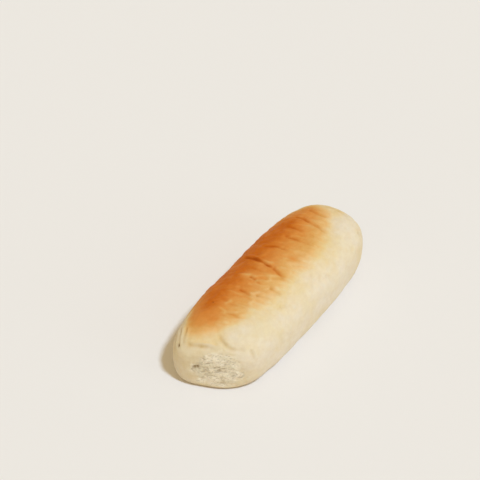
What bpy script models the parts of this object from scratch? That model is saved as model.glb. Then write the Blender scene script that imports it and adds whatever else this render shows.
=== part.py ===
"""Hot dog bun: one soft, uncut roll, browned on its crown and pale on its sides.

Metres, +Z up.  The length runs along X and the flat base lies on Z = 0, with the origin under the
middle of the bun.  The -X end leans and has the larger torn patch, the -Y side is the broad pale
one, and the +Y side is the steeper, browned one.
"""
import math

import bmesh
import bpy
import numpy as np
from mathutils import Vector, noise

# Driving dimensions
LENGTH = 0.150              # along the middle line; the leaning end adds a few millimetres
HEIGHT = 0.041
WAIST_HEIGHT = 0.0188       # of the widest line, above the base
PALE_HALF_WIDTH = 0.0290    # from the middle out to the -Y side
BROWN_HALF_WIDTH = 0.0315   # from the middle out to the +Y side

# Roundness of the form: the powers of its superellipses, where 2 is round and more is squarer
PALE_SHOULDER = 2.40
BROWN_SHOULDER = 2.43
BASE_CORNER = 3.62
PLAN_ENDS = (3.78, 3.54)    # in each pair, the -X end comes first
CROWN_ENDS = (3.96, 3.87)
BASE_ENDS = (11.3, 7.9)
BASE_CUT = 1.08             # the round underside would reach this share of the waist height
NEAR_END_SKEW = -0.44       # how far the -X end leans, in metres along X for each metre across

# Grid of the skin
PIECES_ALONG = 72
PIECES_ACROSS = 18
PIECES_UP = 10
CAP_SHARE = 0.66            # size of the section where each end's cap begins, at the middle of a side
CAP_ROUNDNESS = 3.0         # power of the cap's outline: 2 is round, and more is squarer
PROFILE_STEPS = 600
HALVINGS = 40

# Relief of the skin
SWELL_DEPTH = 0.0007
SWELL_SPACING = 0.030
WRINKLE_DEPTH = 0.00035
WRINKLE_SPACING = (0.007, 0.020, 0.020)
BASE_MARGIN = (0.0015, 0.0060)      # heights between which the relief fades in above the base

# Creases over the crown: the marks that each one passes (metres along, degrees round from the +Y side up
# and over), its depth and half width
CREASES = (
    (((0.0012, 30), (0.0000, 50), (-0.0008, 70), (-0.0024, 92), (-0.0062, 120)), 0.0010, 0.0017),
    (((0.0105, 46), (0.0140, 60), (0.0152, 74), (0.0158, 92)), 0.0006, 0.0016),
    (((-0.0690, 30), (-0.0711, 58), (-0.0707, 80), (-0.0718, 118)), 0.0007, 0.0018),
    (((-0.0598, 84), (-0.0649, 110), (-0.0672, 125), (-0.0636, 142)), 0.0006, 0.0017),
    (((0.0452, 45), (0.0447, 82), (0.0415, 122)), 0.0006, 0.0018),
    (((0.0640, 40), (0.0676, 85), (0.0640, 135)), 0.0006, 0.0018),
)
CREASE_SAMPLES = 24

# Torn patches of the two ends: side, middle (y, z), half sizes, depth
TORN_ENDS = (
    (-1, (-0.0072, 0.0162), (0.0150, 0.0150), 0.0004),
    (1, (0.0030, 0.0180), (0.0140, 0.0112), 0.0004),
)
CRAG_DEPTH = 0.0005
CRAG_SPACING = 0.0055

CRUST_COLOUR = (0.72, 0.47, 0.21, 1.0)
CRUST_ROUGHNESS = 0.62


def smooth_step(value, low, high):
    """0 below low, 1 above high, and a smooth rise between them."""
    share = np.clip((value - low) / (high - low), 0.0, 1.0)
    return share * share * (3.0 - 2.0 * share)


def end_profile(station, powers):
    """Share of the full size at a station, from -1 at the -X tip to 1 at the +X tip."""
    power = np.where(station < 0, powers[0], powers[1])
    return np.maximum(1.0 - np.abs(station) ** power, 1e-12) ** (1.0 / power)


def section_radius(angle, station):
    """Distance from the waist's middle to a section's skin, in the direction of the angle."""
    across, up = np.cos(angle), np.sin(angle)
    half_width = np.where(across > 0, BROWN_HALF_WIDTH, PALE_HALF_WIDTH)
    half_width = half_width * end_profile(station, PLAN_ENDS)
    crown = (HEIGHT - WAIST_HEIGHT) * end_profile(station, CROWN_ENDS)
    belly = WAIST_HEIGHT * BASE_CUT * end_profile(station, BASE_ENDS)
    half_height = np.where(up > 0, crown, belly)
    shoulder = np.where(across > 0, BROWN_SHOULDER, PALE_SHOULDER)
    power = np.where(up > 0, shoulder, BASE_CORNER)
    reach = np.abs(across / half_width) ** power + np.abs(up / half_height) ** power
    return reach ** (-1.0 / power)


def station_of_radius(angle, radius, side):
    """The station, on one side of the middle, where the section has shrunk to a radius."""
    inner, outer = np.zeros(len(angle)), np.ones(len(angle))
    for _ in range(HALVINGS):
        middle = (inner + outer) / 2
        wide = section_radius(angle, side * middle) > radius
        inner = np.where(wide, middle, inner)
        outer = np.where(wide, outer, middle)
    return side * inner


def form_points(station, angle, radius):
    """Points of the smooth form, as rows of x, y, z."""
    across = radius * np.cos(angle)
    up = np.maximum(WAIST_HEIGHT + radius * np.sin(angle), 0.0)
    lean = NEAR_END_SKEW * np.maximum(-station, 0.0) ** 4 * across
    along = station * LENGTH / 2 + lean
    return np.stack([along, across, up], axis=-1)


def travelled(*coordinates):
    """Distance travelled along a line, or along each row of lines, from its first point."""
    steps = np.sqrt(sum(np.diff(line, axis=-1) ** 2 for line in coordinates))
    start = np.zeros(steps.shape[:-1] + (1,))
    return np.concatenate([start, np.cumsum(steps, axis=-1)], axis=-1)


def even_angles(shares):
    """Angles that divide the full section's outline evenly, from the +Y lower corner up and over."""
    start = -math.atan2(WAIST_HEIGHT, BROWN_HALF_WIDTH)
    angles = start + np.linspace(0.0, 2 * math.pi, PROFILE_STEPS)
    radius = section_radius(angles, 0.0)
    distance = travelled(radius * np.cos(angles), radius * np.sin(angles))
    return np.interp(shares, distance / distance[-1], angles)


def even_stations(angles, first, last, line, shares):
    """Stations that divide each lengthwise line of the tube evenly between its first and last."""
    turn = (1 - np.cos(np.linspace(0.0, math.pi, PROFILE_STEPS))) / 2
    stations = first[:, None] + (last - first)[:, None] * turn
    distance = travelled(stations * LENGTH / 2, section_radius(angles[:, None], stations))
    result = np.empty(len(line))
    for number in range(len(angles)):
        rows = np.flatnonzero(line == number)
        reach = distance[number] / distance[number, -1]
        result[rows] = np.interp(shares[rows], reach, stations[number])
    return result


def block_grid():
    """A cube from -1 to 1, cut into the grid that is then shaped into the bun."""
    block = bmesh.new()
    bmesh.ops.create_cube(block, size=2.0)
    for axis, pieces in enumerate((PIECES_ALONG, PIECES_ACROSS, PIECES_UP)):
        runs = [edge for edge in block.edges
                if abs(edge.verts[0].co[axis] - edge.verts[1].co[axis]) > 1e-6]
        bmesh.ops.subdivide_edges(block, edges=runs, cuts=pieces - 1, use_grid_fill=True)
    return block


def outline_steps(across, up):
    """Grid steps round the block's outline, from its +Y lower corner up and over."""
    edge = 1.0 - 1e-6
    return np.select(
        [across > edge, up > edge, across < -edge],
        [(1 + up) / 2 * PIECES_UP,
         PIECES_UP + (1 - across) / 2 * PIECES_ACROSS,
         PIECES_UP + PIECES_ACROSS + (1 - up) / 2 * PIECES_UP],
        2 * PIECES_UP + PIECES_ACROSS + (1 + across) / 2 * PIECES_ACROSS)


def rim_share(across, up):
    """Size of the cap's rim, as a share of the full section, at a point of the block's outline."""
    return CAP_SHARE * (np.abs(across) ** CAP_ROUNDNESS + np.abs(up) ** CAP_ROUNDNESS) ** (1 / CAP_ROUNDNESS)


def shape_block(block):
    """Move the block's grid onto the smooth form: its four sides become the tube, its ends the caps."""
    places = np.array([vert.co[:] for vert in block.verts])
    along, across, up = places.T
    ring = np.maximum(np.maximum(np.abs(across), np.abs(up)), 1e-9)
    steps = outline_steps(across / ring, up / ring)
    rim = rim_share(across / ring, up / ring)
    lines = 2 * (PIECES_ACROSS + PIECES_UP)
    angle = even_angles(steps / lines)
    full = section_radius(angle, 0.0)
    first = station_of_radius(angle, rim * full, -1.0)
    last = station_of_radius(angle, rim * full, 1.0)

    on_cap = np.abs(along) > 1.0 - 1e-6
    line = np.rint(steps).astype(int) % lines
    tube = np.flatnonzero(~on_cap)
    _, sample = np.unique(line[tube], return_index=True)
    corner = tube[sample]
    station = np.empty(len(places))
    station[tube] = even_stations(
        angle[corner], first[corner], last[corner], line[tube], (1 + along[tube]) / 2)
    radius = rim * ring * full
    station[on_cap] = station_of_radius(angle[on_cap], radius[on_cap], np.sign(along[on_cap]))
    radius[tube] = section_radius(angle[tube], station[tube])
    for vert, point in zip(block.verts, form_points(station, angle, radius)):
        vert.co = point
    block.normal_update()


def field(places, spacing, seed):
    """Smooth noise between about -1 and 1 at each place, with its own seed."""
    shift = Vector((17.3 * seed, -9.1 * seed, 5.7 * seed))
    scale = np.broadcast_to(np.asarray(spacing, dtype=float), (3,))
    return np.array([noise.noise(Vector(place) + shift) for place in places / scale])


def crease_path(marks):
    """Points along the smooth line through a crease's marks, on the smooth form."""
    along, degrees = np.array(marks).T
    shares = np.linspace(0.0, 1.0, len(marks))
    steps = np.linspace(0.0, 1.0, CREASE_SAMPLES)
    station = np.polyval(np.polyfit(shares, along, len(marks) - 1), steps) / (LENGTH / 2)
    angle = np.radians(np.polyval(np.polyfit(shares, degrees, len(marks) - 1), steps))
    return form_points(station, angle, section_radius(angle, station))


def crease_distance(places, path):
    """Distance of each place from a crease's line, and its share of the way along the line."""
    nearest, share = np.full(len(places), np.inf), np.zeros(len(places))
    for number, (start, step) in enumerate(zip(path[:-1], np.diff(path, axis=0))):
        reach = np.clip((places - start) @ step / (step @ step), 0.0, 1.0)
        distance = np.linalg.norm(places - start - reach[:, None] * step, axis=1)
        closer = distance < nearest
        nearest = np.where(closer, distance, nearest)
        share = np.where(closer, (number + reach) / (len(path) - 1), share)
    return nearest, share


def crease_relief(places, crease):
    """A valley with faintly raised lips that fades out at both ends of its line."""
    marks, depth, half_width = crease
    distance, share = crease_distance(places, crease_path(marks))
    offset = distance / half_width
    fade = 1.0 - smooth_step(np.abs(2.0 * share - 1.0), 0.5, 1.0)
    return depth * fade * (0.35 * np.exp(-(offset - 2.2) ** 2) - np.exp(-offset ** 2))


def torn_relief(places, torn, seed):
    """A shallow, craggy hollow in one of the ends."""
    side, middle, half_sizes, depth = torn
    along, across, up = places.T
    distance = np.hypot((across - middle[0]) / half_sizes[0], (up - middle[1]) / half_sizes[1])
    ragged = distance + 0.18 * field(places, CRAG_SPACING * 1.6, seed)
    inside = (1.0 - smooth_step(ragged, 0.75, 1.1)) * (along * side > LENGTH / 4)
    return inside * (CRAG_DEPTH * field(places, CRAG_SPACING, seed + 1) - depth)


def skin_relief(places):
    """How far the skin stands out of the smooth form, or is sunk into it where negative."""
    crown = smooth_step(places[:, 2], WAIST_HEIGHT, HEIGHT)
    relief = SWELL_DEPTH * field(places, SWELL_SPACING, 1)
    relief += WRINKLE_DEPTH * field(places, WRINKLE_SPACING, 2) * crown
    for crease in CREASES:
        relief += crease_relief(places, crease)
    for seed, torn in enumerate(TORN_ENDS, start=3):
        relief += torn_relief(places, torn, 2 * seed)
    return relief * smooth_step(places[:, 2], *BASE_MARGIN)


def raise_relief(block):
    """Push the skin along its normals by the relief, and keep it above the base."""
    places = np.array([vert.co[:] for vert in block.verts])
    for vert, height in zip(block.verts, skin_relief(places)):
        vert.co += vert.normal * float(height)
        vert.co.z = max(vert.co.z, 0.0)


def centre_on_origin(block):
    """Slide the bun along the surface until the origin lies under the middle of its extents."""
    places = np.array([vert.co[:] for vert in block.verts])
    middle = (places.min(axis=0) + places.max(axis=0)) / 2
    bmesh.ops.translate(block, verts=block.verts, vec=(-middle[0], -middle[1], 0.0))


def crust_material():
    """Soft baked crust in the bun's mean colour."""
    material = bpy.data.materials.new("crust")
    material.use_nodes = True
    shader = material.node_tree.nodes["Principled BSDF"]
    shader.inputs["Base Color"].default_value = CRUST_COLOUR
    shader.inputs["Roughness"].default_value = CRUST_ROUGHNESS
    shader.inputs["Metallic"].default_value = 0.0
    return material


def make_bun(collection):
    """The whole bun, one closed solid."""
    block = block_grid()
    shape_block(block)
    raise_relief(block)
    centre_on_origin(block)
    mesh = bpy.data.meshes.new("bun")
    block.to_mesh(mesh)
    block.free()
    mesh.shade_smooth()
    mesh.materials.append(crust_material())
    bun = bpy.data.objects.new("bun", mesh)
    collection.objects.link(bun)
    return bun


def main():
    """Clear the scene and build the bun in its own collection."""
    for old in list(bpy.data.objects):
        bpy.data.objects.remove(old, do_unlink=True)
    collection = bpy.data.collections.new("hot_dog_bun")
    bpy.context.scene.collection.children.link(collection)
    make_bun(collection)


main()
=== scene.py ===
import math

import bmesh
import bpy
import numpy as np
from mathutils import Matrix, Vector, noise


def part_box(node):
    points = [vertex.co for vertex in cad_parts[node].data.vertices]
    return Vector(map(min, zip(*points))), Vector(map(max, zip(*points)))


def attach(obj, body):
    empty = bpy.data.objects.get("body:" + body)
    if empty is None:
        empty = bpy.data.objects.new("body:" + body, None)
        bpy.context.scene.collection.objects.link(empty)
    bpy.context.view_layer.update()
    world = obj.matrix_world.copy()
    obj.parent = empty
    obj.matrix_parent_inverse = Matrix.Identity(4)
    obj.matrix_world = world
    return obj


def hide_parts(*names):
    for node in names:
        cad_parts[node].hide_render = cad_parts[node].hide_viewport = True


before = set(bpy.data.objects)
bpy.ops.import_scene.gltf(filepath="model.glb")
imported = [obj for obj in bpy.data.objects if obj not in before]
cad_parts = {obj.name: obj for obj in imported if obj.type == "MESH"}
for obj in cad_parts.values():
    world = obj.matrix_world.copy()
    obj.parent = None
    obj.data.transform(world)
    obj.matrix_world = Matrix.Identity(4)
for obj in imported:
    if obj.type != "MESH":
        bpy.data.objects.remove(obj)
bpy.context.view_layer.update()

# ---------------------------------------------------------------- the smooth form, as in the solid
LENGTH = 0.150              # along the middle line; the leaning end adds a few millimetres
HEIGHT = 0.041
WAIST_HEIGHT = 0.0188       # of the widest line, above the base
PALE_HALF_WIDTH = 0.0290    # from the middle out to the -Y side
BROWN_HALF_WIDTH = 0.0315   # from the middle out to the +Y side

# Powers of the superellipses: 2 is round, and more is squarer
PALE_SHOULDER = 2.40
BROWN_SHOULDER = 2.43
BASE_CORNER = 3.62
PLAN_ENDS = (3.78, 3.54)    # in each pair, the -X end comes first
CROWN_ENDS = (3.96, 3.87)
BASE_ENDS = (11.3, 7.9)
BASE_CUT = 1.08             # the round underside would reach this share of the waist height
NEAR_END_SKEW = -0.44       # how far the -X end leans, in metres along X for each metre across
SKEW_POWER = 4              # of the station: the lean keeps to the end itself
CAP_SHARE = 0.45            # size of the section where each end's cap begins, at the middle of a side
CAP_ROUNDNESS = 3.0         # power of the cap's outline: 2 is round, and more is squarer

# The fine grid
PIECES = (300, 84, 48)      # along, across and up
LINES = 2 * (PIECES[1] + PIECES[2])     # lengthwise lines round the tube between the caps
ROUNDING = 1e-6             # a difference below this is only rounding
BLOCK_FACE = 1.0 - ROUNDING     # a coordinate past this is on a face of the block
LEAST_RING = 1e-9           # these two keep a division or a power away from zero
LEAST_SHARE = 1e-12
PROFILE_STEPS = 600         # points of an outline or a lengthwise line that is measured along
HALVINGS = 40               # of the range in which a station is looked for


def smooth_step(value, low, high):
    """0 below low, 1 above high, and a smooth rise between them."""
    share = np.clip((value - low) / (high - low), 0.0, 1.0)
    return share * share * (3.0 - 2.0 * share)


def between(span, share):
    """The value at a share of the way from the start of a span to its end."""
    return span[0] + (span[1] - span[0]) * share


def end_profile(station, powers):
    """Share of the full size at a station, from -1 at the -X tip to 1 at the +X tip."""
    power = np.where(station < 0, powers[0], powers[1])
    return np.maximum(1.0 - np.abs(station) ** power, LEAST_SHARE) ** (1.0 / power)


def section_radius(angle, station):
    """Distance from the waist's middle to a section's skin, in the direction of the angle."""
    across, up = np.cos(angle), np.sin(angle)
    half_width = np.where(across > 0, BROWN_HALF_WIDTH, PALE_HALF_WIDTH)
    half_width = half_width * end_profile(station, PLAN_ENDS)
    crown = (HEIGHT - WAIST_HEIGHT) * end_profile(station, CROWN_ENDS)
    belly = WAIST_HEIGHT * BASE_CUT * end_profile(station, BASE_ENDS)
    half_height = np.where(up > 0, crown, belly)
    shoulder = np.where(across > 0, BROWN_SHOULDER, PALE_SHOULDER)
    power = np.where(up > 0, shoulder, BASE_CORNER)
    reach = np.abs(across / half_width) ** power + np.abs(up / half_height) ** power
    return reach ** (-1.0 / power)


def station_of_radius(angle, radius, side):
    """The station, on one side of the middle, where the section has shrunk to a radius."""
    inner, outer = np.zeros(len(angle)), np.ones(len(angle))
    for _ in range(HALVINGS):
        middle = (inner + outer) / 2
        wide = section_radius(angle, side * middle) > radius
        inner = np.where(wide, middle, inner)
        outer = np.where(wide, outer, middle)
    return side * inner


def form_points(station, angle, radius):
    """Points of the smooth form, as rows of x, y, z."""
    across = radius * np.cos(angle)
    up = np.maximum(WAIST_HEIGHT + radius * np.sin(angle), 0.0)
    lean = NEAR_END_SKEW * np.maximum(-station, 0.0) ** SKEW_POWER * across
    along = station * LENGTH / 2 + lean
    return np.stack([along, across, up], axis=-1)


def travelled(*coordinates):
    """Distance travelled along a line, or along each row of lines, from its first point."""
    steps = np.sqrt(sum(np.diff(line, axis=-1) ** 2 for line in coordinates))
    start = np.zeros(steps.shape[:-1] + (1,))
    return np.concatenate([start, np.cumsum(steps, axis=-1)], axis=-1)


def even_angles(shares):
    """Angles that divide the full section's outline evenly, from the +Y lower corner up and over."""
    start = -math.atan2(WAIST_HEIGHT, BROWN_HALF_WIDTH)
    angles = start + np.linspace(0.0, 2 * math.pi, PROFILE_STEPS)
    radius = section_radius(angles, 0.0)
    distance = travelled(radius * np.cos(angles), radius * np.sin(angles))
    return np.interp(shares, distance / distance[-1], angles)


def even_stations(angles, first, last, line, shares):
    """Stations that divide each lengthwise line of the tube evenly between its first and last."""
    turn = (1 - np.cos(np.linspace(0.0, math.pi, PROFILE_STEPS))) / 2
    stations = first[:, None] + (last - first)[:, None] * turn
    distance = travelled(stations * LENGTH / 2, section_radius(angles[:, None], stations))
    result = np.empty(len(line))
    for number in range(len(angles)):
        rows = np.flatnonzero(line == number)
        reach = distance[number] / distance[number, -1]
        result[rows] = np.interp(shares[rows], reach, stations[number])
    return result


def block_grid():
    """A cube from -1 to 1, cut into the fine grid that is then shaped into the bun."""
    block = bmesh.new()
    bmesh.ops.create_cube(block, size=2.0)
    for axis, pieces in enumerate(PIECES):
        runs = [edge for edge in block.edges
                if abs(edge.verts[0].co[axis] - edge.verts[1].co[axis]) > ROUNDING]
        bmesh.ops.subdivide_edges(block, edges=runs, cuts=pieces - 1, use_grid_fill=True)
    mesh = bpy.data.meshes.new("bun_skin")
    block.to_mesh(mesh)
    block.free()
    return mesh


def outline_steps(across, up, face_across, face_up):
    """Grid steps round the block's outline, from its +Y lower corner up and over.

    The second pair of coordinates tells which face of the block each place is counted on.
    """
    _, wide, high = PIECES
    return np.select(
        [face_across > BLOCK_FACE, face_up > BLOCK_FACE, face_across < -BLOCK_FACE],
        [(1 + up) / 2 * high,
         high + (1 - across) / 2 * wide,
         high + wide + (1 - up) / 2 * high],
        2 * high + wide + (1 + across) / 2 * wide)


def rim_share(across, up):
    """Size of the cap's rim, as a share of the full section, at a point of the block's outline."""
    reach = np.abs(across) ** CAP_ROUNDNESS + np.abs(up) ** CAP_ROUNDNESS
    return CAP_SHARE * reach ** (1 / CAP_ROUNDNESS)


def read_places(mesh):
    """The mesh's points, as rows of x, y, z."""
    flat = np.empty(len(mesh.vertices) * 3)
    mesh.vertices.foreach_get("co", flat)
    return flat.reshape(-1, 3)


def write_places(mesh, places):
    """Move the mesh's points."""
    mesh.vertices.foreach_set("co", places.ravel())
    mesh.update()


def read_normals(mesh):
    """The mesh's smooth normals, as rows."""
    flat = np.empty(len(mesh.vertices) * 3)
    mesh.vertex_normals.foreach_get("vector", flat)
    return flat.reshape(-1, 3)


def shape_block(mesh):
    """Move the block's grid onto the smooth form, and return each point's angle and station."""
    along, across, up = read_places(mesh).T
    ring = np.maximum(np.maximum(np.abs(across), np.abs(up)), LEAST_RING)
    across, up = across / ring, up / ring
    steps = outline_steps(across, up, across, up)
    rim = rim_share(across, up)
    angle = even_angles(steps / LINES)
    full = section_radius(angle, 0.0)
    first = station_of_radius(angle, rim * full, -1.0)
    last = station_of_radius(angle, rim * full, 1.0)

    on_cap = np.abs(along) > BLOCK_FACE
    line = np.rint(steps).astype(int) % LINES
    tube = np.flatnonzero(~on_cap)
    _, sample = np.unique(line[tube], return_index=True)
    corner = tube[sample]
    station = np.empty(len(along))
    station[tube] = even_stations(
        angle[corner], first[corner], last[corner], line[tube], (1 + along[tube]) / 2)
    radius = rim * ring * full
    station[on_cap] = station_of_radius(angle[on_cap], radius[on_cap], np.sign(along[on_cap]))
    radius[tube] = section_radius(angle[tube], station[tube])
    write_places(mesh, form_points(station, angle, radius))
    return angle, station


# ---------------------------------------------------------------- an even layout for the skin's colours
TUBE_WIDTH = (0.005, 0.835)     # parts of the layout's width and height, which is 1 by 1
TUBE_HEIGHT = (0.005, 0.995)
CAP_WIDTH = (0.850, 0.995)
CAP_HEIGHTS = ((0.005, 0.230), (0.250, 0.475))      # of the -X end and of the +X end


def lay_out(mesh):
    """Unroll the sides into one strip, with the two ends beside it; done while the mesh is a cube."""
    corner = np.empty(len(mesh.loops), dtype=np.int64)
    mesh.loops.foreach_get("vertex_index", corner)
    sizes = np.empty(len(mesh.polygons), dtype=np.int64)
    mesh.polygons.foreach_get("loop_total", sizes)
    face = np.repeat(np.arange(len(sizes)), sizes)
    spots = read_places(mesh)[corner]
    middles = np.zeros((len(sizes), 3))
    np.add.at(middles, face, spots)
    middles = (middles / sizes[:, None])[face]

    along, across, up = spots.T
    steps = outline_steps(across, up, middles[:, 1], middles[:, 2])
    chart = np.empty((len(corner), 2))
    chart[:, 0] = between(TUBE_WIDTH, (1 + along) / 2)
    chart[:, 1] = between(TUBE_HEIGHT, steps / LINES)
    for side, height in zip((-1, 1), CAP_HEIGHTS):
        cap = middles[:, 0] * side > BLOCK_FACE
        chart[cap, 0] = between(CAP_WIDTH, (1 + up[cap]) / 2)
        chart[cap, 1] = between(height, (1 + across[cap]) / 2)
    layer = mesh.uv_layers.new(name="OFBake")
    layer.data.foreach_set("uv", chart.ravel())


# ---------------------------------------------------------------- relief, first as in the solid
SWELL_DEPTH = 0.0007
SWELL_SPACING = 0.030
WRINKLE_DEPTH = 0.00035
WRINKLE_SPACING = (0.007, 0.020, 0.020)
BASE_MARGIN = (0.0015, 0.0060)      # heights between which the relief fades in above the base
SEED_STEP = (17.3, -9.1, 5.7)       # how far each seed moves a noise, in its spacings

# Torn patches of the two ends: side, middle (y, z), half sizes, depth, seed
TORN_ENDS = (
    (-1, (-0.0072, 0.0162), (0.0150, 0.0150), 0.0004, 6),
    (1, (0.0030, 0.0180), (0.0140, 0.0112), 0.0004, 8),
)
TORN_EDGE = (0.75, 1.10)    # distances, in half sizes, between which the patch's hollow fades out
TORN_RAGGEDNESS = 0.18      # how far its edge strays, in half sizes
CRAG_DEPTH = 0.0005
CRAG_SPACING = 0.0055
RAGGED_SPACING = 1.6 * CRAG_SPACING
ELSEWHERE = 9.0             # a distance well outside any patch, in half sizes

# Creases and wrinkles: the marks that each one passes (metres along, degrees round from the +Y side up
# and over), its depth, half width and how far painted shade darkens it.  The first seven are the solid's
# six, with the main one in two stretches; the two of the near end stray a little from the solid's at their
# tips.
CREASES = (
    (((0.0001, 34), (-0.0006, 50), (-0.0011, 70), (-0.0026, 92)), 0.0009, 0.0009, 1.30),
    (((-0.0020, 84), (-0.0032, 96), (-0.0047, 107), (-0.0077, 120)), 0.0004, 0.0011, 0.38),
    (((0.0105, 46), (0.0140, 60), (0.0152, 74), (0.0158, 92)), 0.0005, 0.0009, 0.50),
    (((-0.0708, 44), (-0.0711, 68), (-0.0709, 90), (-0.0718, 116)), 0.0006, 0.0012, 0.75),
    (((-0.0622, 147), (-0.0663, 132), (-0.0668, 117), (-0.0640, 103), (-0.0560, 76)), 0.0005, 0.0013, 0.55),
    (((0.0452, 45), (0.0447, 82), (0.0415, 122)), 0.0006, 0.0010, 0.60),
    (((0.0640, 40), (0.0676, 85), (0.0640, 135)), 0.0005, 0.0011, 0.35),
    (((-0.0152, 65), (-0.0159, 75), (-0.0170, 84), (-0.0171, 99)), 0.0004, 0.0009, 0.60),
    (((-0.0277, 69), (-0.0281, 81), (-0.0284, 96)), 0.0004, 0.0010, 0.36),
    (((-0.0265, 97), (-0.0242, 108), (-0.0230, 122)), 0.0004, 0.0011, 0.52),
    (((-0.0167, 105), (-0.0161, 116), (-0.0163, 130)), 0.0003, 0.0011, 0.36),
    (((-0.0467, 78), (-0.0463, 92), (-0.0470, 108)), 0.0003, 0.0013, 0.22),
    (((-0.0068, 57), (-0.0082, 70), (-0.0076, 84)), 0.0003, 0.0010, 0.30),
    (((-0.0385, 56), (-0.0392, 72), (-0.0380, 90)), 0.0003, 0.0012, 0.25),
    (((0.0262, 60), (0.0268, 84), (0.0288, 112)), 0.0003, 0.0011, 0.35),
    (((0.0345, 48), (0.0352, 66), (0.0347, 86)), 0.0003, 0.0011, 0.30),
    (((0.0560, 52), (0.0553, 74), (0.0562, 98)), 0.0003, 0.0011, 0.30),
    (((-0.0330, 2), (-0.0322, 14), (-0.0334, 26)), 0.0002, 0.0012, 0.30),
    (((0.0190, 4), (0.0180, 20), (0.0194, 35)), 0.0002, 0.0011, 0.35),
    (((0.0480, 10), (0.0472, 26), (0.0484, 40)), 0.0002, 0.0012, 0.30),
    (((-0.0560, 12), (-0.0640, 19), (-0.0700, 17)), 0.0003, 0.0009, 0.25),
    (((-0.0590, 24), (-0.0668, 31), (-0.0722, 27)), 0.0003, 0.0009, 0.30),
    (((-0.0610, 37), (-0.0668, 40), (-0.0722, 38)), 0.0003, 0.0009, 0.25),
    (((0.0565, 8), (0.0630, 20), (0.0672, 34)), 0.0004, 0.0010, 0.30),
    (((0.0610, 146), (0.0655, 158), (0.0660, 172)), 0.0004, 0.0011, 0.25),
    (((-0.0330, 158), (-0.0302, 166), (-0.0290, 176)), 0.0003, 0.0015, 0.10),
    (((0.0180, 148), (0.0193, 160), (0.0182, 173)), 0.0003, 0.0016, 0.10),
    (((-0.0250, 134), (-0.0187, 141), (-0.0138, 152)), 0.0002, 0.0012, 0.12),
    (((-0.0600, 146), (-0.0614, 158), (-0.0624, 168)), 0.0003, 0.0010, 0.20),
    (((0.0110, 134), (0.0056, 144), (0.0024, 156)), 0.0003, 0.0012, 0.15),
    (((0.0150, 142), (0.0108, 152), (0.0070, 162)), 0.0002, 0.0011, 0.15),
)
CREASE_SAMPLES = 40
CREASE_REACH = 0.006        # a crease is felt this far from its line
CREASE_START = (0.0, 0.13)  # shares of the way along it between which it rises
CREASE_END = (1.0, 0.70)    # and fades away again
CREASE_TAPER = 0.7          # by which it weakens from its first mark to its last
CREASE_WANDER = 0.0006      # how far it strays from its smooth line
CREASE_STRENGTH = 0.92      # its usual strength, and how far that varies along it
CREASE_VARIETY = 0.9
CREASE_STRENGTHS = (0.35, 1.3)      # the least and the greatest strength
CREASE_NOISE_SPACING = 0.0060       # of the wander and of the variety
CREASE_TORN_LOSS = 0.6      # a crease is shallower by this share where it runs into a torn patch
LIP_HEIGHT = 0.32           # of a crease's two lips on average, as a share of its depth
LIP_DIFFERENCE = 0.18       # one lip is higher and the other one lower by this much
LIP_DISTANCE = 2.1          # from the line, in half widths
SHADE_NARROWNESS = 0.95     # below 1, the line of painted shade is wider than the valley

# Painted highlights, slightly raised streaks painted pale on the browned skin: the marks that each one
# passes, its half width and strength
RAISED_HIGHLIGHTS = (
    (((-0.0168, 49), (-0.0150, 59), (-0.0124, 71)), 0.0009, 1.3),
    (((-0.0418, 67), (-0.0391, 71), (-0.0361, 75)), 0.0010, 1.2),
    (((-0.0277, 63), (-0.0261, 65), (-0.0252, 69)), 0.0008, 1.0),
    (((-0.0176, 79), (-0.0165, 81), (-0.0148, 83)), 0.0007, 1.3),
    (((-0.0478, 106), (-0.0476, 112), (-0.0470, 118)), 0.0010, 0.9),
    (((-0.0531, 84), (-0.0531, 92), (-0.0520, 97)), 0.0009, 0.9),
    (((-0.0135, 109), (-0.0138, 116), (-0.0148, 123)), 0.0010, 1.0),
    (((-0.0029, 53), (-0.0031, 58), (-0.0035, 64)), 0.0008, 0.8),
    (((-0.0212, 72), (-0.0205, 77), (-0.0210, 83)), 0.0008, 0.8),
    (((-0.0013, 112), (-0.0029, 118), (-0.0056, 124)), 0.0012, 0.8),
)
HIGHLIGHT_TAPER = (0.40, 1.0)   # shares of the way from its middle to its tips between which it fades

# Small burst bubbles and holes, with shade painted in them: middle, radius, depth
PITS = (
    ((-0.0762, 0.0177, 0.0287), 0.0010, 0.0011),
    ((-0.0770, 0.0052, 0.0180), 0.0012, 0.0008),
    ((-0.0766, 0.0034, 0.0186), 0.0009, 0.0005),
    ((-0.0437, 0.0157, 0.0389), 0.0006, 0.0005),
)


def field(places, spacing, seed):
    """Smooth noise between about -1 and 1 at each place, with its own seed."""
    shift = Vector([step * seed for step in SEED_STEP])
    scale = np.broadcast_to(np.asarray(spacing, dtype=float), (3,))
    return np.array([noise.noise(Vector(place) + shift) for place in places / scale])


def fields(places, layers):
    """Several layers of such noise together: the strength, spacing and seed of each."""
    return sum(strength * field(places, spacing, seed) for strength, spacing, seed in layers)


def torn_distance(places, side, middle, half_sizes, seed):
    """Distance from the middle of a torn patch: about 1 at its ragged edge, and large elsewhere."""
    along, across, up = places.T
    distance = np.hypot((across - middle[0]) / half_sizes[0], (up - middle[1]) / half_sizes[1])
    ragged = distance + TORN_RAGGEDNESS * field(places, RAGGED_SPACING, seed)
    return np.where(along * side > LENGTH / 4, ragged, ELSEWHERE)


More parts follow.
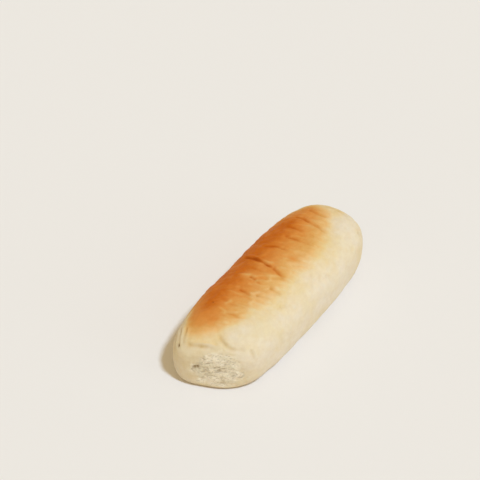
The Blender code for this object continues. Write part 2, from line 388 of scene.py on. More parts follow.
def skin_relief(places):
    """The solid's own swells and wrinkles, with a shallow, craggy hollow in each torn end."""
    crown = smooth_step(places[:, 2], WAIST_HEIGHT, HEIGHT)
    relief = SWELL_DEPTH * field(places, SWELL_SPACING, seed=1)
    relief += WRINKLE_DEPTH * field(places, WRINKLE_SPACING, seed=2) * crown
    for side, middle, half_sizes, depth, seed in TORN_ENDS:
        distance = torn_distance(places, side, middle, half_sizes, seed)
        inside = 1.0 - smooth_step(distance, *TORN_EDGE)
        relief += inside * (CRAG_DEPTH * field(places, CRAG_SPACING, seed + 1) - depth)
    return relief


def crease_path(marks):
    """Points along the smooth line through a crease's marks, on the smooth form."""
    along, degrees = np.array(marks).T
    shares = np.linspace(0.0, 1.0, len(marks))
    steps = np.linspace(0.0, 1.0, CREASE_SAMPLES)
    station = np.polyval(np.polyfit(shares, along, len(marks) - 1), steps) / (LENGTH / 2)
    angle = np.radians(np.polyval(np.polyfit(shares, degrees, len(marks) - 1), steps))
    return form_points(station, angle, section_radius(angle, station))


def crease_offset(places, normals, path):
    """Signed distance of each place from a crease's line, and its share of the way along the line."""
    nearest = np.full(len(places), np.inf)
    signed, share = np.zeros(len(places)), np.zeros(len(places))
    for number, (start, step) in enumerate(zip(path[:-1], np.diff(path, axis=0))):
        reach = np.clip((places - start) @ step / (step @ step), 0.0, 1.0)
        gap = places - start - reach[:, None] * step
        distance = np.linalg.norm(gap, axis=1)
        closer = distance < nearest
        nearest = np.where(closer, distance, nearest)
        side = np.sign(np.sum(gap * np.cross(normals, step), axis=1))
        signed = np.where(closer, side * distance, signed)
        share = np.where(closer, (number + reach) / (len(path) - 1), share)
    return signed, share


def near_crease(places, normals, marks):
    """Which places a crease reaches, with their signed distances and shares of the way along it."""
    path = crease_path(marks)
    low = path.min(axis=0) - CREASE_REACH
    high = path.max(axis=0) + CREASE_REACH
    rows = np.flatnonzero(np.all((places > low) & (places < high), axis=1))
    signed, share = crease_offset(places[rows], normals[rows], path)
    return rows, signed, share


def crease_levels(places, normals):
    """Relief of all the creases, valleys with one lip higher than the other, and the shade painted along
    them.
    """
    wander = CREASE_WANDER * field(places, CREASE_NOISE_SPACING, seed=45)
    variety = CREASE_VARIETY * field(places, CREASE_NOISE_SPACING, seed=47)
    strength = np.clip(CREASE_STRENGTH + variety, *CREASE_STRENGTHS)
    relief, painted_shade = np.zeros(len(places)), np.zeros(len(places))
    for marks, depth, half_width, shade_strength in CREASES:
        rows, signed, share = near_crease(places, normals, marks)
        offset = (signed + wander[rows]) / half_width
        fade = strength[rows] * (1.0 + CREASE_TAPER * (0.5 - share))
        fade *= smooth_step(share, *CREASE_START) * smooth_step(share, *CREASE_END)
        lips = LIP_HEIGHT + LIP_DIFFERENCE * np.tanh(offset)
        lips *= np.exp(-(np.abs(offset) - LIP_DISTANCE) ** 2)
        relief[rows] += depth * fade * (lips - np.exp(-offset ** 2))
        crease_shade = shade_strength * fade * np.exp(-(offset * SHADE_NARROWNESS) ** 2)
        painted_shade[rows] = np.maximum(painted_shade[rows], crease_shade)
    return relief, np.clip(painted_shade, 0.0, 1.0)


def raised_highlight_level(places, normals):
    """How much of a slightly raised streak, painted pale as a highlight, there is at each place."""
    wander = CREASE_WANDER * field(places, CREASE_NOISE_SPACING, seed=49)
    level = np.zeros(len(places))
    for marks, half_width, strength in RAISED_HIGHLIGHTS:
        rows, signed, share = near_crease(places, normals, marks)
        fade = 1.0 - smooth_step(np.abs(2.0 * share - 1.0), *HIGHLIGHT_TAPER)
        highlight = strength * fade * np.exp(-((signed + wander[rows]) / half_width) ** 2)
        level[rows] = np.maximum(level[rows], highlight)
    return level


def pit_level(places):
    """1 in the middle of each small hole, where shade is painted, and the depth there."""
    level, depth = np.zeros(len(places)), np.zeros(len(places))
    for middle, radius, sunk in PITS:
        share = np.exp(-(np.linalg.norm(places - np.array(middle), axis=1) / radius) ** 2)
        level = np.maximum(level, share)
        depth += sunk * share
    return level, depth


# ---------------------------------------------------------------- browning
# Directions round the bun are in degrees from the +Y side up and over, and distances are from the
# middle of the bun along it.
STREAK_SPACING = (0.0042, 0.015, 0.015)
STREAK_SLANT = 0.36             # metres along for each metre across
CLOUD_SPACING = 0.016

# Depth of the browning by the direction
BAKE_ANGLES = (-30, 0, 25, 50, 70, 90, 100, 110, 120, 130, 140, 155)
BAKE_DEPTHS = (0.0, 0.50, 0.95, 1.0, 0.83, 0.67, 0.60, 0.50, 0.31, 0.13, 0.07, 0.0)
BAKE_VARIETY = 0.05             # by the streaks
EDGE_WANDER = 5                 # degrees, by the streaks and by the clouds
EDGE_TURN = (60, 95)            # directions between which the wander sets in

# The browned band is narrower towards its ends
BAKE_PEAK = 50                  # the direction that it narrows towards
BAKE_NARROWING = 0.41           # by this share
NARROWING_GAIN = 1.08
NARROWING_POWER = 1.2           # above 1, it starts gently
NARROWING_TURN = (60, 100)      # directions between which it sets in
NARROWING_STARTS = (0.020, 0.030)   # distances where it starts, at the -X end and the +X end
BAKE_ENDS = (0.0642, 0.0620)    # distances where the band has narrowed, and where it fades
BAKE_FADES = (                  # stretches round that place, and the share that is lost in each
    (-0.0065, 0.0065, 0.70),
    (-0.0235, -0.0055, 0.18),
    (0.0, 0.011, 1.0),
)
CORNER_ROUNDING = 2.5e-5        # metres for each square degree below CORNER_ANGLE
CORNER_ANGLE = 52
CORNER_DEPTH = 25               # degrees below it where the rounding ends
END_WANDERS = (0.0012, 0.0018)  # metres, by the streaks and by the clouds

# Browner places, and paler ones that are painted highlights: metres along, degrees round, half sizes in
# both, change of the depth
BAKE_AND_HIGHLIGHT_PATCHES = (
    (-0.0395, 78, 0.0040, 13, -0.11),
    (-0.0150, 63, 0.0035, 9, -0.12),
    (0.0130, 110, 0.0035, 9, -0.12),
    (-0.0060, 92, 0.0045, 12, 0.10),
    (-0.0535, 72, 0.0055, 12, 0.08),
    (-0.0600, 46, 0.0040, 11, -0.10),
    (-0.0044, 109, 0.0022, 10, 0.15),
)
PATCH_VARIETY = 0.6             # by the streaks

# Faint browning beyond the band, as far as the first fold of each end
TAN_DEPTH = 0.15
TAN_END = (0.0715, 0.0695)      # distances between which it fades out
TAN_TURN = (120, 95)            # and directions
TAN_VARIETY = 0.3               # by the clouds

# The pale skin, from the yellowest cream at 0 to the whitest at 1
MILK_USUAL = 0.60
MILK_VARIETY = 0.7
MILK_CLOUDS = ((1.0, 0.021, 61), (0.5, 0.009, 62))      # strength, spacing, seed
MILK_END_LOSS = 0.28
MILK_END = (0.050, 0.068)       # distances between which the loss sets in
MILK_PATCHES = (                # whiter and yellower places, in the form of the paler and browner ones
    (0.0100, 177, 0.0130, 17, 0.80),
    (-0.0560, 187, 0.0110, 10, -0.32),
    (-0.0675, 145, 0.0060, 18, 0.45),
)

# The streaks of the brown, which fade by this share towards the ends, between these distances
END_CALM = 0.6
END_CALM_STRETCH = (0.046, 0.060)


def slanted(places):
    """Places for the streaks: the lines across the bun slant a little along it."""
    turned = places.copy()
    turned[:, 0] += STREAK_SLANT * places[:, 1]
    return turned


def degrees_round(angle):
    """Degrees round the bun, from the +Y side up and over, where the lower +Y side is below 0."""
    return (np.degrees(angle) + 90) % 360 - 90


def patch_sum(patches, along, degrees):
    """The change that soft patches make together at each place."""
    change = np.zeros(len(along))
    for middle, turn, half_length, half_turn, most in patches:
        reach = ((along - middle) / half_length) ** 2 + ((degrees - turn) / half_turn) ** 2
        change += most * np.exp(-reach)
    return change


def bake_level(places, angle, station):
    """How deeply the crust is baked: 0 for cream, 1 for the deepest brown."""
    streaks = field(slanted(places), STREAK_SPACING, seed=31)
    clouds = field(places, CLOUD_SPACING, seed=32)
    degrees = degrees_round(angle)
    distance = np.abs(station) * LENGTH / 2
    start = np.where(station < 0, *NARROWING_STARTS)
    end = np.where(station < 0, *BAKE_ENDS)
    reach = np.clip((distance - start) / (end - start), 0, 1) ** NARROWING_POWER
    spread = 1.0 - BAKE_NARROWING * reach
    narrowing = (1.0 / spread - 1.0) * smooth_step(degrees, *NARROWING_TURN) * NARROWING_GAIN
    turned = BAKE_PEAK + (degrees - BAKE_PEAK) * (1.0 + narrowing)
    turned += (EDGE_WANDER * streaks + EDGE_WANDER * clouds) * smooth_step(degrees, *EDGE_TURN)
    level = np.interp(turned, BAKE_ANGLES, BAKE_DEPTHS)
    distance += CORNER_ROUNDING * np.clip(CORNER_ANGLE - degrees, 0, CORNER_DEPTH) ** 2
    distance += END_WANDERS[0] * streaks + END_WANDERS[1] * clouds
    for first, last, loss in BAKE_FADES:
        level *= 1.0 - loss * smooth_step(distance, end + first, end + last)
    # Browner patches, and paler ones that are painted highlights
    patches = patch_sum(BAKE_AND_HIGHLIGHT_PATCHES, station * LENGTH / 2, degrees)
    level += patches * (1.0 + PATCH_VARIETY * streaks)
    tan = TAN_DEPTH * smooth_step(distance, *TAN_END) * smooth_step(degrees, *TAN_TURN)
    level = np.maximum(level, tan * (1.0 + TAN_VARIETY * clouds) * (degrees > 0))
    return np.clip(level * (1.0 + BAKE_VARIETY * streaks), 0.0, 1.0)


def milk_level(places, angle, station):
    """How whitish the pale skin is: 0 for the yellowest cream and 1 for the whitest."""
    clouds = fields(places, MILK_CLOUDS)
    end = smooth_step(np.abs(places[:, 0]), *MILK_END)
    patches = patch_sum(MILK_PATCHES, station * LENGTH / 2, degrees_round(angle))
    return np.clip(MILK_USUAL - MILK_END_LOSS * end + MILK_VARIETY * clouds + patches, 0.0, 1.0)


# ---------------------------------------------------------------- the finer relief
# Soft folds across the bun, and flakes, the cracked edges of the baked skin.  Both run slanted, are bent
# to and fro by noise (strength, spacing, seed), and show in patches, between two levels of another noise.
# The material paints the flakes paler, as highlights, and the folds paler on their ridges and browner in
# their hollows, as painted highlight and shade.
FOLD_BEND = (0.0030, 0.013, 40)
FOLD_SPACING = (0.0034, 0.0120, 0.0120)
FOLD_PATCH_SPACING = 0.015
FOLD_PATCHES = (-0.25, 0.30)
FOLD_GAIN = 1.6
FLAKE_BEND = (0.0018, 0.0085, 71)
FLAKE_SPACING = (0.0046, 0.0130, 0.0130)
FLAKE_PATCH_SPACING = (0.0060, 0.0080, 0.0080)
FLAKE_PATCHES = (-0.05, 0.35)
FLAKE_WIDTH = (0.0, 0.24)   # levels of the noise between which a flake falls away from its ridge

# Layers of the grain: depth, spacing, seed, and its share on the pale skin, with what the bake and the
# deepest bake add to that share
GRAIN = (
    (0.00050, 0.0110, 48, 1.0, -0.4, 0.0),
    (0.00018, 0.0046, 46, 0.5, 0.5, 0.5),
    (0.00011, 0.0030, 43, 1.0, 0.0, 2.3),
    (0.00004, 0.0013, 44, 1.0, 0.0, 0.0),
)
DEEPEST_BAKE = (0.70, 0.95)     # depths of the bake between which the deepest begins
FOLD_DEPTH = 0.00022
FOLD_SHARES = (0.65, 1.0)   # of that depth, on the pale skin and on the brown
FLAKE_HEIGHT = 0.00014
FLAKED_BAKE = (0.10, 0.50)  # depths of the bake between which the flakes set in

# The torn crumb: how its edge is frayed, and its slanting pores (strengths, spacings, seeds)
CRUMB_EDGE = (0.76, 1.06)   # distances, in half sizes of the torn patch, between which it ends
CRUMB_FRAY = ((0.20, 0.0032, 59), (0.12, 0.0014, 60))
CRUMB_BASE = (0.0012, 0.0034)       # heights between which it begins above the base
CRUMB_LEAST = 0.01          # share of the crumb below which nothing is worked out
PORE_SLANT = math.radians(15)       # the pores run up towards the -Y side
PORE_BEND = (0.0009, 0.0040, 57)
PORES = ((1.0, (0.0028, 0.0034, 0.0013), 51), (0.5, (0.0014, 0.0017, 0.0008), 55))
PORE_CLUSTERS = (0.45, 0.0060, 52)
CORNER_CALM = 0.45          # fewer pores in the upper -Y corner, by this much
CORNER_STRETCH = (0.010, 0.022)     # metres up and towards -Y between which they get fewer
LOW_CALM = 0.40             # and fewer low down
LOW_STRETCH = (0.0125, 0.0085)      # heights between which they get fewer
PORE_EDGE = (-0.16, 0.74)   # levels of the noise between which a pore deepens
PORE_DEPTH = 0.00045
CRUMB_CRAGS = (0.00034, (0.0034, 0.0040, 0.0024), 53)
CRUMB_GRAIN = (0.00015, 0.0012, 54)


def bent(places, strength, spacing, seed):
    """Slanted places, bent to and fro along the bun by noise."""
    turned = slanted(places)
    turned[:, 0] += strength * field(places, spacing, seed)
    return turned


def fold_level(places):
    """Soft folds of the skin that run across the bun, between about -1 and 1."""
    folds = field(bent(places, *FOLD_BEND), FOLD_SPACING, seed=41)
    patches = smooth_step(field(places, FOLD_PATCH_SPACING, seed=42), *FOLD_PATCHES)
    return FOLD_GAIN * folds * patches


def flake_level(places):
    """1 on the thin, short, raised edges where the baked skin is cracked, which are painted paler as
    highlights, and 0 between them.
    """
    ridges = field(bent(places, *FLAKE_BEND), FLAKE_SPACING, seed=72)
    patches = smooth_step(field(places, FLAKE_PATCH_SPACING, seed=73), *FLAKE_PATCHES)
    return (1.0 - smooth_step(np.abs(ridges), *FLAKE_WIDTH)) * patches


def fine_relief(places, folds, flakes, bake):
    """Wrinkles and leathery grain that the solid is too coarse to hold."""
    deepest = smooth_step(bake, *DEEPEST_BAKE)
    relief = FOLD_DEPTH * folds * between(FOLD_SHARES, bake)
    relief += FLAKE_HEIGHT * flakes * smooth_step(bake, *FLAKED_BAKE)
    for depth, spacing, seed, pale, baked, deep in GRAIN:
        relief += depth * field(places, spacing, seed) * (pale + baked * bake + deep * deepest)
    return relief


def crumb_share(places):
    """1 where the crumb shows in the torn patches and 0 on the skin, with a frayed edge."""
    fray = fields(places, CRUMB_FRAY)
    share = np.zeros(len(places))
    for side, middle, half_sizes, _, seed in TORN_ENDS:
        distance = torn_distance(places, side, middle, half_sizes, seed) + fray
        share = np.maximum(share, 1.0 - smooth_step(distance, *CRUMB_EDGE))
    return share * smooth_step(places[:, 2], *CRUMB_BASE)


def crumb_relief(places, torn):
    """Crags and slanting pores of the torn crumb, and how deep in a pore each point lies, for the shade
    painted there.
    """
    relief, pores = np.zeros(len(places)), np.zeros(len(places))
    rows = np.flatnonzero(torn > CRUMB_LEAST)
    spots = places[rows]
    _, across, up = spots.T
    turned = spots.copy()
    turned[:, 1] = across * math.cos(PORE_SLANT) - up * math.sin(PORE_SLANT)
    turned[:, 2] = across * math.sin(PORE_SLANT) + up * math.cos(PORE_SLANT)
    turned[:, 2] += fields(spots, [PORE_BEND])
    corner = (up - WAIST_HEIGHT) - across
    holes = fields(turned, PORES) + fields(spots, [PORE_CLUSTERS])
    holes -= CORNER_CALM * smooth_step(corner, *CORNER_STRETCH)
    holes -= LOW_CALM * smooth_step(up, *LOW_STRETCH)
    hole = smooth_step(holes, *PORE_EDGE)
    crags = fields(turned, [CRUMB_CRAGS]) + fields(spots, [CRUMB_GRAIN])
    relief[rows] = torn[rows] * (crags - PORE_DEPTH * hole)
    pores[rows] = torn[rows] * hole
    return relief, pores


def put_attribute(mesh, name, values):
    """Keep one number for each point, for the material to read."""
    layer = mesh.attributes.new(name, "FLOAT", "POINT")
    layer.data.foreach_set("value", np.asarray(values, dtype=np.float32))


def fit_to_box(mesh, low, high):
    """Centre the skin on the solid's box and keep it inside, and return how far it was slid in x and y."""
    low, high = np.array(low), np.array(high)
    places = read_places(mesh)
    least, most = places.min(axis=0), places.max(axis=0)
    middle = (least + most) / 2
    scale = np.minimum((high - low) / (most - least), 1.0)
    slide = (low + high) / 2 - middle
    fitted = (places - middle) * scale + middle + slide
    fitted[:, 2] = (places[:, 2] - least[2]) * scale[2] + low[2]
    write_places(mesh, fitted)
    return slide[:2]


def make_skin():
    """The bun's whole visible skin, and how far it was slid from the form's own middle."""
    mesh = block_grid()
    lay_out(mesh)
    angle, station = shape_block(mesh)
    smooth = read_places(mesh)
    normals = read_normals(mesh)
    bake = bake_level(smooth, angle, station)
    torn = crumb_share(smooth)
    folds = fold_level(smooth)
    streaky = 1.0 - END_CALM * smooth_step(np.abs(smooth[:, 0]), *END_CALM_STRETCH)
    # Flakes and raised streaks: relief here, and painted highlights in the material
    flakes = np.maximum(flake_level(smooth) * streaky, raised_highlight_level(smooth, normals))
    shaded_pits, sunk = pit_level(smooth)
    crumbs, pores = crumb_relief(smooth, torn)
    creases, line = crease_levels(smooth, normals)
    relief = skin_relief(smooth) + crumbs + creases * (1.0 - CREASE_TORN_LOSS * torn) - sunk
    relief += fine_relief(smooth, folds, flakes, bake) * (1.0 - torn)
    relief *= smooth_step(smooth[:, 2], *BASE_MARGIN)
    shaped = smooth + normals * relief[:, None]
    shaped[:, 2] = np.maximum(shaped[:, 2], 0.0)
    write_places(mesh, shaped)
    levels = {
        "bake": bake,
        "torn": torn,
        # pore: where shade is painted in the crumb's pores
        "pore": pores,
        # line: painted shade along the creases
        "line": line,
        # pit: painted shade in the small holes
        "shaded_pit": shaded_pits,
        "milk": milk_level(smooth, angle, station),
        # fold: painted highlight on the fold ridges and painted shade in their hollows
        "fold": folds,
        # flake: painted highlights on the flakes and raised streaks
        "flake": flakes,
        "streaky": streaky,
        "height": smooth[:, 2],
    }
    for name, values in levels.items():
        put_attribute(mesh, name, values)
    mesh.shade_smooth()
    slide = fit_to_box(mesh, *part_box("bun"))
    skin = bpy.data.objects.new("bun_skin", mesh)
    bpy.context.scene.collection.objects.link(skin)
    return skin, slide


# ---------------------------------------------------------------- materials
def srgb(red, green, blue):
    """A colour given as 0 to 255 screen values, for a shader."""
    return tuple(
        c / 12.92 if c <= 0.04045 else ((c + 0.055) / 1.055) ** 2.4
        for c in (red / 255, green / 255, blue / 255)) + (1.0,)


# The crust's colours by how deeply it is baked
BAKED_COLOURS = (
    (0.00, srgb(231, 216, 190)),
    (0.17, srgb(232, 207, 160)),
    (0.42, srgb(232, 187, 124)),
    (0.60, srgb(224, 168, 97)),
    (0.75, srgb(222, 150, 75)),
    (0.90, srgb(213, 127, 48)),
    (1.00, srgb(203, 107, 22)),
)
YELLOW_TINT = srgb(252, 248, 230)
DULL_TINT = srgb(250, 248, 246)
# Painted shade along the creases, and in the small holes
PAINTED_CREASE_SHADE = srgb(230, 216, 190)
PAINTED_PIT_SHADE = srgb(160, 140, 106)
CRUMB = srgb(243, 229, 201)
CRUMB_DULL = srgb(227, 213, 182)
# Painted shade in the crumb's pores and cells
PAINTED_PORE_SHADE = srgb(191, 175, 147)
BASE_GOLD = srgb(213, 168, 110)
BASE_BROWN = srgb(194, 142, 84)

# Noises of the skin and the crumb: scale in 1/m, detail, roughness
SKIN_GRAIN = (900.0, 4.0, 0.6)
MOTTLE = (260.0, 4.0, 0.55)
BLOTCHES = (130.0, 3.0, 0.55)
DUST = (330.0, 3.0, 0.6)
RIM_CLOUDS = (90.0, 3.0, 0.5)
BASE_CLOUDS = (70.0, 6.0, 0.60)
CRUMB_CLOUDS = (170.0, 2.0, 0.5)
# Stretched ones: spacing in metres; then scale in spacings, detail, roughness, distortion
STREAK_GRAIN_SPACING = (0.0032, 0.0064, 0.0064)
STREAK_GRAIN = (1.0, 2.0, 0.55, 0.6)
CELL_SPACING = (0.0012, 0.0016, 0.0009)
CELLS = (1.0, 3.0, 0.6, 0.4)

# How far the mottle and the streaks change the depth of the bake, and the folds, as painted highlight on
# their ridges and painted shade in their hollows
MOTTLE_CHANGE = 0.12
STREAK_CHANGE = -0.34
FOLD_SHADING_CHANGE = -0.12
PAINTED_CREASE_BROWNING = 0.22        # painted shade: a crease in brown skin is painted this much browner
# Two depths of the bake, or levels of a noise, and the values at them where they aren't 0 and 1
STREAKS_BEGIN = (0.05, 0.35)
STREAKS_CALM = (0.50, 0.90, 1.0, 0.16)
# The next three: where creases get browner painted shade, and where flakes get paler painted highlights
CREASE_SHADE_BAKES = (0.0, 0.5)
FLAKE_HIGHLIGHT_BAKES = (0.15, 0.50, 0.0, -0.15)
FLAKE_HIGHLIGHT_CALM = (0.75, 1.0, 1.0, 0.4)
ROUGHNESS = (0.0, 1.0, 0.75, 0.60)
DUSTY = (0.3, 0.7, 1.0, 0.0)
BASE_MOTTLED = (0.30, 0.72)
CRUMB_CLOUDED = (0.35, 0.65)
# Levels of the cell noise between which shade is painted in the crumb's cells
SHADED_CELL_LEVELS = (0.52, 0.66, 0.0, 0.8)

BLOTCH_CHANGE = 1.2         # of the yellow, which is 1 less the milk on average
RIM_WANDER = 0.0024         # metres by which the golden base reaches up less in places
RIM = (0.0024, 0.0009)      # heights between which the golden base begins
LINE_ROUGHENING = 0.25
SKIN_SURFACE = {
    "Specular IOR Level": 0.12,
    "Subsurface Weight": 0.12,
    "Subsurface Radius": (0.50, 0.36, 0.24),
    "Subsurface Scale": 0.003,
}
BUMP_STRENGTH = 0.35
BUMP_HEIGHT = 0.0004
FLOOR_SURFACE = {
    "Base Color": srgb(236, 231, 224),
    "Roughness": 0.9,
    "Specular IOR Level": 0.1,
}
MIX_SOCKETS = (0, 6, 7)     # the mix node's factor and its two colours
MIX_RESULT = 2


class Nodes:
    """Small helper that adds and joins shader nodes."""

    def __init__(self, owner, shader="Principled BSDF"):
        owner.use_nodes = True
        self.tree = owner.node_tree
        self.shader = self.tree.nodes[shader]

    def add(self, kind, **settings):
        node = self.tree.nodes.new(kind)
        for name, value in settings.items():
            setattr(node, name, value)
        return node

    def link(self, source, target):
        self.tree.links.new(source, target)

    def set_surface(self, values):
        """Put constant values on the shader's own sockets."""
        for name, value in values.items():
            self.shader.inputs[name].default_value = value

    def attribute(self, name):
        return self.add("ShaderNodeAttribute", attribute_name=name).outputs["Fac"]

    def stretch(self, coordinates, spacing, turn=0.0):
        """Coordinates turned about the vertical, then counted in spacings, one for each axis."""
        if turn:
            turned = self.add("ShaderNodeMapping")
            turned.inputs["Rotation"].default_value[2] = turn
            self.link(coordinates, turned.inputs["Vector"])
            coordinates = turned.outputs["Vector"]
        node = self.add("ShaderNodeMapping")
        node.inputs["Scale"].default_value = tuple(1.0 / step for step in spacing)
        self.link(coordinates, node.inputs["Vector"])
        return node.outputs["Vector"]

    def noise(self, coordinates, scale, detail, roughness, distortion=0.0):
        node = self.add("ShaderNodeTexNoise")
        node.inputs["Distortion"].default_value = distortion
        node.inputs["Scale"].default_value = scale
        node.inputs["Detail"].default_value = detail
        node.inputs["Roughness"].default_value = roughness
        self.link(coordinates, node.inputs["Vector"])
        return node.outputs["Fac"]

    def ramp(self, factor, stops):
        node = self.add("ShaderNodeValToRGB")
        elements = node.color_ramp.elements
        while len(elements) < len(stops):
            elements.new(0.5)
        for element, (position, colour) in zip(elements, stops):
            element.position = position
            element.color = colour
        self.link(factor, node.inputs["Fac"])
        return node.outputs["Color"]

    def math(self, operation, *values, clamp=False):
        node = self.add("ShaderNodeMath", operation=operation, use_clamp=clamp)
        for socket, value in zip(node.inputs, values):
            if isinstance(value, (int, float)):
                socket.default_value = value
            else:
                self.link(value, socket)
        return node.outputs[0]

    def plus(self, first, second, clamp=False):
        return self.math("ADD", first, second, clamp=clamp)

    def times(self, first, second):
        return self.math("MULTIPLY", first, second)

    def swing(self, value, change):
        """A noise about 0.5, made to swing about 0 instead, by a change."""
        return self.times(self.math("SUBTRACT", value, 0.5), change)

    def remap(self, value, low, high, to_low=0.0, to_high=1.0):
        node = self.add("ShaderNodeMapRange", interpolation_type="SMOOTHSTEP")
        self.link(value, node.inputs["Value"])
        for name, number in zip(("From Min", "From Max", "To Min", "To Max"),
                                (low, high, to_low, to_high)):
            node.inputs[name].default_value = number
        return node.outputs["Result"]

    def mix(self, factor, first, second, blend="MIX"):
        node = self.add("ShaderNodeMix", data_type="RGBA", blend_type=blend)
        for number, value in zip(MIX_SOCKETS, (factor, first, second)):
            if isinstance(value, (int, float, tuple)):
                node.inputs[number].default_value = value
            else:
                self.link(value, node.inputs[number])
        return node.outputs[MIX_RESULT]


def baked_colour(nodes, place, bake, line):
    """The skin's colour by its bake, mottle and streaks, with painted shade and highlights from folds,
    creases and flakes.
    """
    mottle = nodes.swing(nodes.noise(place, *MOTTLE), MOTTLE_CHANGE)
    grain_place = nodes.stretch(place, STREAK_GRAIN_SPACING, -math.atan(STREAK_SLANT))
    streaks = nodes.swing(nodes.noise(grain_place, *STREAK_GRAIN), STREAK_CHANGE)
    # Painted highlight on the fold ridges and painted shade in the fold hollows
    folds = nodes.times(nodes.attribute("fold"), FOLD_SHADING_CHANGE)
    streaked = nodes.times(nodes.remap(bake, *STREAKS_BEGIN), nodes.remap(bake, *STREAKS_CALM))
    varied = nodes.times(nodes.plus(streaks, folds), streaked)
    varied = nodes.times(varied, nodes.attribute("streaky"))
    # Painted shade: creases in brown skin are painted browner
    crease_browning_shade = nodes.times(nodes.times(line, nodes.remap(bake, *CREASE_SHADE_BAKES)), PAINTED_CREASE_BROWNING)
    # Painted highlights: the flakes and raised streaks are painted paler
    flake_highlights = nodes.times(nodes.remap(bake, *FLAKE_HIGHLIGHT_BAKES), nodes.remap(bake, *FLAKE_HIGHLIGHT_CALM))
    flake_highlights = nodes.times(nodes.attribute("flake"), flake_highlights)
    level = nodes.plus(nodes.plus(bake, crease_browning_shade), flake_highlights)
    level = nodes.plus(level, nodes.plus(mottle, varied), clamp=True)
    return nodes.ramp(level, BAKED_COLOURS)


def tinted(nodes, place, colour):
    """The colour, yellower where the skin is less milky, and duller in specks."""
    blotches = nodes.swing(nodes.noise(place, *BLOTCHES), BLOTCH_CHANGE)
    yellow = nodes.math("SUBTRACT", nodes.plus(blotches, 1.0), nodes.attribute("milk"), clamp=True)
    dull = nodes.remap(nodes.noise(place, *DUST), *DUSTY)
    colour = nodes.mix(yellow, colour, YELLOW_TINT, "MULTIPLY")
    return nodes.mix(dull, colour, DULL_TINT, "MULTIPLY")


def with_base(nodes, place, colour):
    """The colour, with the golden, mottled bake of the flat base."""
    clouds = nodes.noise(place, *RIM_CLOUDS)
    rim = nodes.math("MULTIPLY_ADD", clouds, RIM_WANDER, nodes.attribute("height"))
    mottled = nodes.remap(nodes.noise(place, *BASE_CLOUDS), *BASE_MOTTLED)
    base = nodes.mix(mottled, BASE_GOLD, BASE_BROWN)
    return nodes.mix(nodes.remap(rim, *RIM), colour, base)


def crumb_colour(nodes, place):
    """Creamy crumb, cloudy, with shade painted in its cells and pores."""
    clouds = nodes.remap(nodes.noise(place, *CRUMB_CLOUDS), *CRUMB_CLOUDED)
    crumb = nodes.mix(clouds, CRUMB, CRUMB_DULL)
    # Painted shade in the crumb's cells and pores
    shaded_cells = nodes.noise(nodes.stretch(place, CELL_SPACING), *CELLS)
    crumb = nodes.mix(nodes.remap(shaded_cells, *SHADED_CELL_LEVELS), crumb, PAINTED_PORE_SHADE)
    return nodes.mix(nodes.attribute("pore"), crumb, PAINTED_PORE_SHADE)


def crust_material():
    """Baked skin: cream sides, browned crown, torn crumb and golden base."""
    material = bpy.data.materials.new("crust_skin")
    nodes = Nodes(material)
    place = nodes.add("ShaderNodeTexCoord").outputs["Object"]
    bake = nodes.attribute("bake")
    line = nodes.attribute("line")
    colour = tinted(nodes, place, baked_colour(nodes, place, bake, line))
    colour = with_base(nodes, place, colour)
    colour = nodes.mix(nodes.attribute("torn"), colour, crumb_colour(nodes, place))
    # Painted shade along the creases, then in the small holes
    colour = nodes.mix(line, colour, PAINTED_CREASE_SHADE, "MULTIPLY")
    colour = nodes.mix(nodes.attribute("shaded_pit"), colour, PAINTED_PIT_SHADE, "MULTIPLY")
    rough = nodes.remap(bake, *ROUGHNESS)
    rough = nodes.math("MULTIPLY_ADD", line, LINE_ROUGHENING, rough, clamp=True)
    bump = nodes.add("ShaderNodeBump")
    bump.inputs["Strength"].default_value = BUMP_STRENGTH
    bump.inputs["Distance"].default_value = BUMP_HEIGHT
    nodes.link(nodes.noise(place, *SKIN_GRAIN), bump.inputs["Height"])
    nodes.set_surface(SKIN_SURFACE)
    nodes.link(colour, nodes.shader.inputs["Base Color"])
    nodes.link(rough, nodes.shader.inputs["Roughness"])
    nodes.link(bump.outputs["Normal"], nodes.shader.inputs["Normal"])
    return material


def floor_material():
    """The floor's plain, pale, matt finish."""
    material = bpy.data.materials.new("floor_paper")
    Nodes(material).set_surface(FLOOR_SURFACE)
    return material


# ---------------------------------------------------------------- the studio
CAMERA_HEADING = math.radians(54.58)    # of the view over the floor, clockwise from +Y as seen from above
CAMERA_TILT = math.radians(45.0)        # above the horizon
CAMERA_DISTANCE = 1.0
CAMERA_LENS = 114.67                    # both in millimetres
CAMERA_SENSOR = 36.0
AIM = Vector((0.0395, 0.0552, 0.0))     # point of the floor in the picture's middle, from the form's middle
FLOOR_SIZE = 60.0
FLOOR_DROP = 0.0002                     # below the base, so that the two don't lie in one plane
UP = Vector((0.0, 0.0, 1.0))

# Lights: turn from the picture's right towards the camera, height above the horizon, width, strength
LIGHTS = {
    "key": (math.radians(44), math.radians(62.6), math.radians(7.6), 2.19),
    "fill": (math.radians(25), math.radians(18), math.radians(30), 0.177),
}
LIGHT_COLOUR = (0.685, 0.849, 1.098)
SKY_COLOUR = (0.566, 0.466, 0.296, 1.0)
HORIZON_COLOUR = (0.84, 0.80, 0.745, 1.0)
HORIZON_BAND = (0.02, 0.10)     # heights on the unit sphere between which the horizon turns into sky


def picture_directions():
    """Unit vectors on the floor: away from the camera, and to the picture's right."""
    away = Vector((math.sin(CAMERA_HEADING), math.cos(CAMERA_HEADING), 0.0))
    right = Vector((away.y, -away.x, 0.0))
    return away, right


def face_along(item, direction):
    """Turn a camera or a light so that it looks along a direction, with its top upwards."""
    item.rotation_mode = "QUATERNION"
    item.rotation_quaternion = direction.to_track_quat("-Z", "Y")


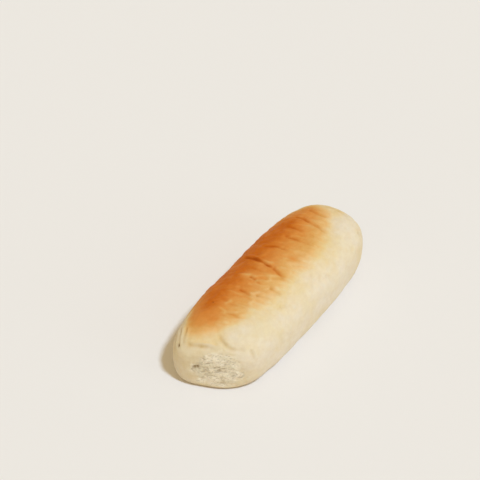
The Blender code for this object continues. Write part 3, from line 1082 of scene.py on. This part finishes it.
def make_camera(slide):
    """The camera at the photograph's angle and framing."""
    away, _ = picture_directions()
    back = UP * math.sin(CAMERA_TILT) - away * math.cos(CAMERA_TILT)
    data = bpy.data.cameras.new("camera")
    data.lens = CAMERA_LENS
    data.sensor_width = CAMERA_SENSOR
    camera = bpy.data.objects.new("camera", data)
    camera.location = AIM + Vector((*slide, 0.0)) + back * CAMERA_DISTANCE
    face_along(camera, -back)
    bpy.context.scene.collection.objects.link(camera)
    bpy.context.scene.camera = camera


def make_floor():
    """A large, plain, pale floor under the bun."""
    sheet = bmesh.new()
    bmesh.ops.create_grid(sheet, x_segments=1, y_segments=1, size=FLOOR_SIZE / 2)
    mesh = bpy.data.meshes.new("floor")
    sheet.to_mesh(mesh)
    sheet.free()
    mesh.materials.append(floor_material())
    floor = bpy.data.objects.new("floor", mesh)
    floor.location.z = -FLOOR_DROP
    bpy.context.scene.collection.objects.link(floor)


def sun(name, direction, spread, strength):
    """A distant soft light that shines on the bun from a direction."""
    data = bpy.data.lights.new(name, "SUN")
    data.angle = spread
    data.energy = strength
    data.color = LIGHT_COLOUR
    light = bpy.data.objects.new(name, data)
    light.location = direction
    face_along(light, -direction)
    bpy.context.scene.collection.objects.link(light)


def make_lights():
    """A moderately soft key from the right, a weak fill below it and a warm sky over a pale horizon."""
    away, right = picture_directions()
    for name, (turn, height, spread, strength) in LIGHTS.items():
        level = right * math.cos(turn) - away * math.sin(turn)
        sun(name, level * math.cos(height) + UP * math.sin(height), spread, strength)
    world = bpy.data.worlds.new("studio")
    nodes = Nodes(world, "Background")
    split = nodes.add("ShaderNodeSeparateXYZ")
    nodes.link(nodes.add("ShaderNodeTexCoord").outputs["Generated"], split.inputs["Vector"])
    sky = nodes.mix(nodes.remap(split.outputs["Z"], *HORIZON_BAND), HORIZON_COLOUR, SKY_COLOUR)
    nodes.link(sky, nodes.shader.inputs["Color"])
    bpy.context.scene.world = world
    bpy.context.scene.view_settings.view_transform = "Standard"


skin, slide = make_skin()
skin.data.materials.append(crust_material())
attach(skin, "root")
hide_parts("bun")
make_floor()
make_lights()
make_camera(slide)
